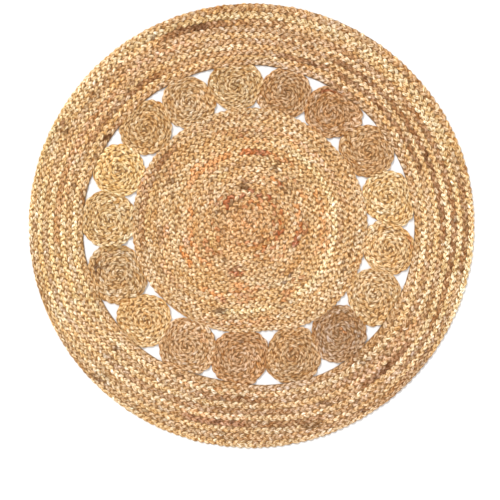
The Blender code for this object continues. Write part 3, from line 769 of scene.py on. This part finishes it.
def lay_plait(name, repeat_piece, coil, number, pitch, seed, tone_at):
    """One plait from its start to its tail: the repeat copied in a row, sculpted, and bent round its coil."""
    route = coil.route(number)
    length = route["run"][-1]
    repeats = round(length / pitch)
    repeat = length / repeats
    plait = repeat_piece.copy()
    plait.data = repeat_piece.data.copy()
    plait.name = plait.data.name = name
    bpy.context.scene.collection.objects.link(plait)
    places = vertex_places(plait.data)
    places[:, 0] *= repeat / REPEAT
    plait.data.vertices.foreach_set("co", places.ravel())
    choose(plait)

    row = plait.modifiers.new("row", "ARRAY")
    row.fit_type = "FIXED_COUNT"
    row.count = repeats
    row.use_relative_offset = False
    row.use_constant_offset = True
    row.constant_offset_displace = (repeat, 0.0, 0.0)
    row.use_merge_vertices = True
    row.merge_threshold = MERGE_WITHIN
    bpy.ops.object.modifier_apply(modifier=row.name)
    bpy.ops.object.mode_set(mode="EDIT")
    bpy.ops.mesh.select_all(action="SELECT")
    bpy.ops.mesh.fill_holes(sides=STRAND_SIDES)
    bpy.ops.mesh.normals_make_consistent(inside=False)
    bpy.ops.object.mode_set(mode="OBJECT")

    data = plait.data
    along, strand, part = sculpt_plait(data, length, repeat, route, coil.tightness, seed)
    mark_strands(data, along, strand, part)
    tone = np.ones((len(along), 4))
    # the tone holds the jute's own colour times the painted shade of the crevices between the strands
    tone[:, :3] = tone_at(route, number, along, strand, seed) * crevice_shade(data, route, coil, along)
    colours = data.color_attributes.new("tone", "FLOAT_COLOR", "POINT")
    colours.data.foreach_set("color", tone.ravel())
    for spare in ("strand", "around"):
        data.attributes.remove(data.attributes[spare])

    line = route_curve(name + "_line", route)
    bend = plait.modifiers.new("bend", "CURVE")
    bend.object = line
    bend.deform_axis = "POS_X"
    bpy.ops.object.modifier_apply(modifier=bend.name)
    bpy.data.objects.remove(line)
    data.shade_smooth()
    return plait


def strand_tones(base, along, strand, seed):
    """A base colour with the strands' own tones: long light and dark stretches and short blotches."""
    whole = seed * TONE_SEEDS + PLAIT_TONE_SEED
    short = drift(whole, along, PLAIT_TONE_EVERY)
    long = drift(whole + 1, along, 4.0 * PLAIT_TONE_EVERY)
    shade = 1.0 + PLAIT_TONE * (short + long)
    warmth = PLAIT_WARMTH * drift(whole + 2, along, 2.0 * PLAIT_TONE_EVERY)
    for number in range(STRANDS):
        mine = strand == number
        own = seed * TONE_SEEDS + number * STRAND_TONE_SEEDS
        slow = drift(own, along[mine], SLOW_TONE_EVERY)
        quick = drift(own + 1, along[mine], LOBE_DRIFT_EVERY)
        shade[mine] += SLOW_TONE * slow + LOBE_TONE * quick
        warmth[mine] += LOBE_WARMTH * drift(own + 2, along[mine], 2.0 * LOBE_DRIFT_EVERY)
    shaded = base * np.stack([shade ** power for power in PALING], axis=1)
    return shaded * np.stack([1.0 + share * warmth for share in WARMING], axis=1)


def crevice_shade(data, route, coil, along):
    """Painted shade: how much each vertex of a straight plait keeps of its tone, less deep in the crevices
    between the strands, where shade falls, and nearly all of it along the coil's own edge."""
    places = vertex_places(data)
    open_part = np.abs(places[:, 2] - PLAIT_MIDDLE) / OPEN_HEIGHT
    # painted shade, darkest at a plait's middle height, where the strands lie deep between each other
    shade = PAINTED_DEEP_SHADE + (1.0 - PAINTED_DEEP_SHADE) * eased(open_part)
    turn_width = at_run(route, "width", along) * len(PLAIT_WORDS)
    # a straight plait's +Y side is its outer side once it is bent round its coil
    across = at_run(route, "across", along) + places[:, 1] / turn_width
    from_edge = coil.turns - across
    if coil.has_hole:
        from_edge = np.minimum(from_edge, across)
    edge = 1.0 - eased((from_edge - EDGE_LIT) / EDGE_FADE)
    shade = np.maximum(shade, EDGE_SHADE * edge)
    return np.stack([shade ** power for power in PALING], axis=1)


def with_runs(base, runs, word, route, along, strand):
    """A tone with the charted stretches of one plait over it, each strand's a little longer or shorter."""
    toned = base.copy()
    for order, run in enumerate(runs):
        if run["plait"] != word:
            continue
        start, end = np.interp((run["start"], run["end"]), route["count"], route["run"])
        ragged = np.random.default_rng(order).uniform(-RUN_RAGGED, RUN_RAGGED, (STRANDS, 2))
        for number in run["strands"]:
            mine = strand == float(number)
            early, late = ragged[int(number)]
            shown = eased((along[mine] - start - early) / RUN_FADE + 0.5)
            shown = shown * eased((end + late - along[mine]) / RUN_FADE + 0.5) * run["depth"]
            toned[mine] += shown[:, None] * (linear(STAND_OUT[run["tone"]]) * LIT[0] - toned[mine])
    return toned


def looked(rows, column, places, closed):
    """The charted look at places, as light."""
    tones = np.array([linear(row["tone"]) for row in rows])
    marks = [row[column] for row in rows]
    if closed:
        return np.stack([around(marks, tones[:, i], places) for i in range(3)], axis=1)
    return np.stack([np.interp(places, marks, tones[:, i]) for i in range(3)], axis=1)


def disc_coil():
    """The centre disc: round at its heart, and more and more as its solid's rim is."""
    rim = rim_points("centre_disc")
    rim_bearings, rim_reach = bearings_of(rim), np.linalg.norm(rim, axis=1)
    even = rim_reach.mean()

    def bearing_at(across, count):
        return DISC_START - 360.0 * count

    def place(across, count):
        bearing = bearing_at(across, count)
        reach = around(rim_bearings, rim_reach, bearing) + SEWN_OVER
        heart = np.asarray(DISC_HEART) * (1.0 - across)[:, None]
        return heart + polar((even + (reach - even) * across ** DISC_EVENNESS) * across, bearing)

    def drawn_back(points):
        return points

    return Coil(DISC_TURNS, DISC_STEP_OUT, False, place, bearing_at, drawn_back)


def band_coil():
    """The border band, from its uneven hole out to the rug's rim."""
    edges = rim_points("border_band")
    hole = edges[np.linalg.norm(edges, axis=1) < HOLE_WITHIN]
    wander_bearings = [row["bearing"] for row in WANDER]
    hole_bearings, hole_reach = bearings_of(hole), np.linalg.norm(hole, axis=1)

    def bearing_at(across, count):
        return BAND_START + BAND_START_SLANT * (1.0 - across) - 360.0 * count

    def place(across, count):
        bearing = bearing_at(across, count)
        gap = beside_gaps(bearing)
        inside = around(hole_bearings, hole_reach, bearing)
        inside = inside + BAND_DRAWN_BACK * gap - SEWN_OVER * (1.0 - gap)
        near, far, rim = (
            around(wander_bearings, [row[zone] for row in WANDER], bearing) / MM_A_METRE
            for zone in WANDER_COLUMNS[1:]
        )
        wander = wandering(near, far, across)
        return polar(inside + (RUG_RADIUS + rim - inside) * across + wander, bearing)

    def drawn_back(points):
        bearing = bearings_of(points)
        inside = around(hole_bearings, hole_reach, bearing)
        across = np.clip((np.linalg.norm(points, axis=1) - inside) / (RUG_RADIUS - inside), 0.0, 1.0)
        near_hole = (1.0 - across) ** BAND_BACK_FADE
        return pushed(points, 0.0, BAND_DRAWN_BACK * beside_gaps(bearing) * near_hole)

    return Coil(BAND_TURNS, BAND_STEP_OUT, True, place, bearing_at, drawn_back)


def medallion_node(index):
    """The node of a medallion, which is counted from 0 here."""
    return f"medallion_{index + 1:02d}"


def medallion_coil(index):
    """A medallion, round at its heart and as uneven as its solid at its rim. Its turns start at one of the
    points of that rim, and marks are the bearings of the rim's points from there, clockwise."""
    row = ROUNDS[index]
    centre = polar(row["centre"] / MM_A_METRE, row["bearing"])
    rim = rim_points(medallion_node(index)) - centre
    headings, reaches = bearings_of(rim), np.linalg.norm(rim, axis=1)
    outward = bearings_of(centre[None])[0]
    steps = len(rim)
    turned = np.sort((headings - outward) % 360.0)
    first = round(MEDALLION_START_TURN * index / 360.0 * steps)
    order = [(-(first + step)) % steps for step in range(steps + 1)]
    marks = outward + turned[order]
    marks = np.concatenate(([marks[0]], marks[0] - np.cumsum((marks[:-1] - marks[1:]) % 360.0)))
    even = reaches.mean()

    def bearing_at(across, count):
        turn = np.floor(count)
        return np.interp((count - turn) * steps, np.arange(steps + 1), marks) - 360.0 * turn

    def place(across, count):
        heading = bearing_at(across, count)
        gap = towards_gaps(heading, outward)
        reach = around(headings, reaches, heading) - MEDALLION_DRAWN_BACK * gap + SEWN_OVER * (1.0 - gap)
        return centre + polar((even + (reach - even) * across) * across, heading)

    def drawn_back(points):
        offset = points - centre
        near_rim = (np.linalg.norm(offset, axis=1) / even) ** MEDALLION_BACK_FADE
        back = MEDALLION_DRAWN_BACK * towards_gaps(bearings_of(offset), outward)
        return pushed(points, centre, -back * near_rim)

    return Coil(MEDALLION_TURNS, MEDALLION_STEP_OUT, False, place, bearing_at, drawn_back, MEDALLION_TIGHT)


def packed_body(node, coil):
    """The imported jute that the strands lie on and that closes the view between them: a copy of the solid,
    merged, pressed lower, and drawn back from the gaps as the plaits are."""
    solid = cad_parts[node]
    reach = BAND_BODY_REACH if coil.has_hole else 1.0
    body = solid.copy()
    body.data = solid.data.copy()
    body.parent = None
    body.name = body.data.name = node + "_body"
    bpy.context.scene.collection.objects.link(body)
    choose(body)
    bpy.ops.object.mode_set(mode="EDIT")
    bpy.ops.mesh.select_all(action="SELECT")
    bpy.ops.mesh.remove_doubles(threshold=BODY_MERGE_WITHIN)
    bpy.ops.mesh.normals_make_consistent(inside=False)
    bpy.ops.transform.resize(
        value=(reach, reach, BODY_HEIGHT), center_override=(0.0, 0.0, BODY_LEVEL), orient_type="GLOBAL",
    )
    bpy.ops.object.mode_set(mode="OBJECT")
    places = vertex_places(body.data)
    places[:, :2] = coil.drawn_back(places[:, :2])
    body.data.vertices.foreach_set("co", places.ravel())
    return body


def new_finish(name, roughness, gloss):
    """A new material with its nodes, their links and its shader."""
    finish = bpy.data.materials.new(name)
    finish.use_nodes = True
    nodes, links = finish.node_tree.nodes, finish.node_tree.links
    shader = nodes["Principled BSDF"]
    shader.inputs["Roughness"].default_value = roughness
    shader.inputs["Specular IOR Level"].default_value = gloss
    return finish, nodes, links, shader


def raise_grain(nodes, links, shader, height, bump_by):
    """Raises a surface where a pattern is high: bump_by is a strength and a height."""
    bump = nodes.new("ShaderNodeBump")
    bump.inputs["Strength"].default_value, bump.inputs["Distance"].default_value = bump_by
    links.new(height, bump.inputs["Height"])
    links.new(bump.outputs["Normal"], shader.inputs["Normal"])


def strand_jute(name):
    """Dry jute strand: its tone, streaked by its yarns and fibres, which are raised."""
    finish, nodes, links, shader = new_finish(name, roughness=0.86, gloss=0.12)
    shader.inputs["Sheen Weight"].default_value = 0.02
    shader.inputs["Sheen Roughness"].default_value = 0.6
    tone = nodes.new("ShaderNodeAttribute")
    tone.attribute_type = "GEOMETRY"
    tone.attribute_name = "tone"
    chart = nodes.new("ShaderNodeUVMap")
    chart.uv_map = "strand_map"

    def stretched(across, along):
        fit = nodes.new("ShaderNodeMapping")
        fit.inputs["Scale"].default_value = (across, along, 1.0)
        fit.inputs["Rotation"].default_value = (0.0, 0.0, math.radians(STREAK_SLANT))
        links.new(chart.outputs["UV"], fit.inputs["Vector"])
        return fit.outputs["Vector"]

    def noise(across, along, detail):
        node = nodes.new("ShaderNodeTexNoise")
        node.inputs["Scale"].default_value = 1.0
        node.inputs["Detail"].default_value = detail
        links.new(stretched(across, along), node.inputs["Vector"])
        return node.outputs["Fac"]

    def streaked(colour, value, darkest, palest):
        fit = nodes.new("ShaderNodeMapRange")
        fit.inputs["From Min"].default_value = STREAK_DARKEST_AT
        fit.inputs["From Max"].default_value = STREAK_PALEST_AT
        links.new(value, fit.inputs["Value"])
        strength = nodes.new("ShaderNodeVectorMath")
        strength.operation = "MULTIPLY_ADD"
        strength.inputs[1].default_value = Vector(palest) - Vector(darkest)
        strength.inputs[2].default_value = darkest
        links.new(fit.outputs["Result"], strength.inputs[0])
        both = nodes.new("ShaderNodeVectorMath")
        both.operation = "MULTIPLY"
        links.new(colour, both.inputs[0])
        links.new(strength.outputs["Vector"], both.inputs[1])
        return both.outputs["Vector"]

    fibres = noise(FIBRE_ACROSS, FIBRE_ALONG, 2.0)
    yarns = noise(YARN_ACROSS, YARN_ALONG, 1.0)
    colour = streaked(tone.outputs["Color"], yarns, YARN_DARK, YARN_PALE)
    colour = streaked(colour, fibres, FIBRE_DARK, FIBRE_PALE)
    links.new(colour, shader.inputs["Base Color"])

    raised = nodes.new("ShaderNodeMath")
    raised.operation = "ADD"
    links.new(fibres, raised.inputs[0])
    links.new(yarns, raised.inputs[1])
    raise_grain(nodes, links, shader, raised.outputs["Value"], STREAK_BUMP)
    return finish


def shaded_jute(name):
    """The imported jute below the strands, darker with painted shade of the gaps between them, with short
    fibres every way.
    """
    finish, nodes, links, shader = new_finish(name, roughness=0.95, gloss=0.1)
    spot = nodes.new("ShaderNodeTexCoord")
    noise = nodes.new("ShaderNodeTexNoise")
    noise.inputs["Scale"].default_value = BODY_GRAIN
    noise.inputs["Detail"].default_value = 3.0
    links.new(spot.outputs["Object"], noise.inputs["Vector"])
    ramp = nodes.new("ShaderNodeValToRGB")
    dark, pale = ramp.color_ramp.elements
    dark.position, dark.color = BODY_DARK_AT, BODY_DARK
    pale.position, pale.color = BODY_PALE_AT, BODY_PALE
    links.new(noise.outputs["Fac"], ramp.inputs["Fac"])
    links.new(ramp.outputs["Color"], shader.inputs["Base Color"])
    raise_grain(nodes, links, shader, noise.outputs["Fac"], BODY_BUMP)
    return finish


def finished(piece, finish):
    """Gives a piece its finish and its body."""
    piece.data.materials.clear()
    piece.data.materials.append(finish)
    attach(piece, "root")


def disc_tone(route, number, along, strand, seed):
    """The jute of the disc, by its distance from the heart."""
    distance = at_run(route, "across", along) * DISC_TURN_WIDTH
    base = looked(DISC_LOOK, "distance", distance, closed=False) * LIT
    base = with_runs(base, named_rows(RUN_COLUMNS, DISC_RUNS), PLAIT_WORDS[number], route, along, strand)
    return strand_tones(base, along, strand, seed)


def band_tone(coil):
    """The jute of the band, by its bearing, with a darker and a lighter plait."""
    runs = named_rows(RUN_COLUMNS, BAND_RUNS)

    def tone_at(route, number, along, strand, seed):
        across = at_run(route, "across", along) / BAND_TURNS
        bearing = coil.bearing_at(across, at_run(route, "count", along))
        base = looked(BAND_LOOK, "bearing", bearing, closed=True) * LIT * BAND_PLAITS[number]
        base = with_runs(base, runs, PLAIT_WORDS[number], route, along, strand)
        return strand_tones(base, along, strand, seed)

    return tone_at


def medallion_tone(index):
    """The jute of a medallion, one tone all over."""
    row = ROUNDS[index]
    runs = named_rows(RUN_COLUMNS, ROUND_RUNS.get(index + 1, ()))

    def tone_at(route, number, along, strand, seed):
        tone = linear(row["tone"]) * LIT * MEDALLION_PLAITS[number]
        base = np.tile(tone, (len(along), 1))
        base = with_runs(base, runs, PLAIT_WORDS[number], route, along, strand)
        return strand_tones(base, along, strand, seed)

    return tone_at


def make_rug():
    """Dresses each coil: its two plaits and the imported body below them."""
    repeat_piece = plait_repeat()
    strands = strand_jute("jute_strand")
    shaded = shaded_jute("jute_shaded")
    band = band_coil()
    coils = [
        ("centre_disc", "jute_disc", disc_coil(), DISC_REPEAT, disc_tone),
        ("border_band", "jute_band", band, BAND_REPEAT, band_tone(band)),
    ]
    for index, row in enumerate(ROUNDS):
        coil, tone_at = medallion_coil(index), medallion_tone(index)
        coils.append((medallion_node(index), row["slot"], coil, MEDALLION_REPEAT, tone_at))

    for order, (node, slot, coil, pitch, tone_at) in enumerate(coils):
        for number, word in enumerate(PLAIT_WORDS):
            seed = FIRST_SEED + order * COIL_SEEDS + number * PLAIT_SEEDS
            plait = lay_plait(f"{node}_{word}_plait", repeat_piece, coil, number, pitch, seed, tone_at)
            finished(plait, strands)
        body = packed_body(node, coil)
        finished(body, shaded)
        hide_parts(node)
    bpy.data.objects.remove(repeat_piece)


def lay_floor():
    """The plain white floor that the rug lies on."""
    deselect_all()
    bpy.ops.mesh.primitive_plane_add(size=FLOOR_SIZE, location=(0.0, 0.0, 0.0))
    floor = bpy.context.active_object
    floor.name = floor.data.name = "floor"
    finish, *_, shader = new_finish("floor_white", roughness=0.9, gloss=0.1)
    shader.inputs["Base Color"].default_value = FLOOR_WHITE
    floor.data.materials.append(finish)


def light_and_camera():
    """Even light all round, a soft window to the upper left, and a camera straight above the rug."""
    scene = bpy.context.scene
    scene.view_settings.view_transform = "Standard"
    scene.view_settings.look = "None"
    world = bpy.data.worlds.new("studio")
    world.use_nodes = True
    surround = world.node_tree.nodes["Background"]
    surround.inputs["Color"].default_value = SURROUND_WHITE
    surround.inputs["Strength"].default_value = SURROUND_LIGHT
    scene.world = world

    sun = bpy.data.lights.new("window", "SUN")
    sun.energy = WINDOW_LIGHT
    sun.angle = math.radians(WINDOW_BREADTH)
    lamp = bpy.data.objects.new("window", sun)
    lamp.location = WINDOW_PLACE
    lamp.rotation_euler = Vector(lamp.location).to_track_quat("Z", "Y").to_euler()
    scene.collection.objects.link(lamp)

    camera = bpy.data.cameras.new("camera")
    camera.lens = CAMERA_LENS
    camera.sensor_width = CAMERA_SENSOR
    camera.clip_end = CAMERA_REACH
    holder = bpy.data.objects.new("camera", camera)
    holder.location = CAMERA_PLACE
    scene.collection.objects.link(holder)
    scene.camera = holder


make_rug()
lay_floor()
light_and_camera()
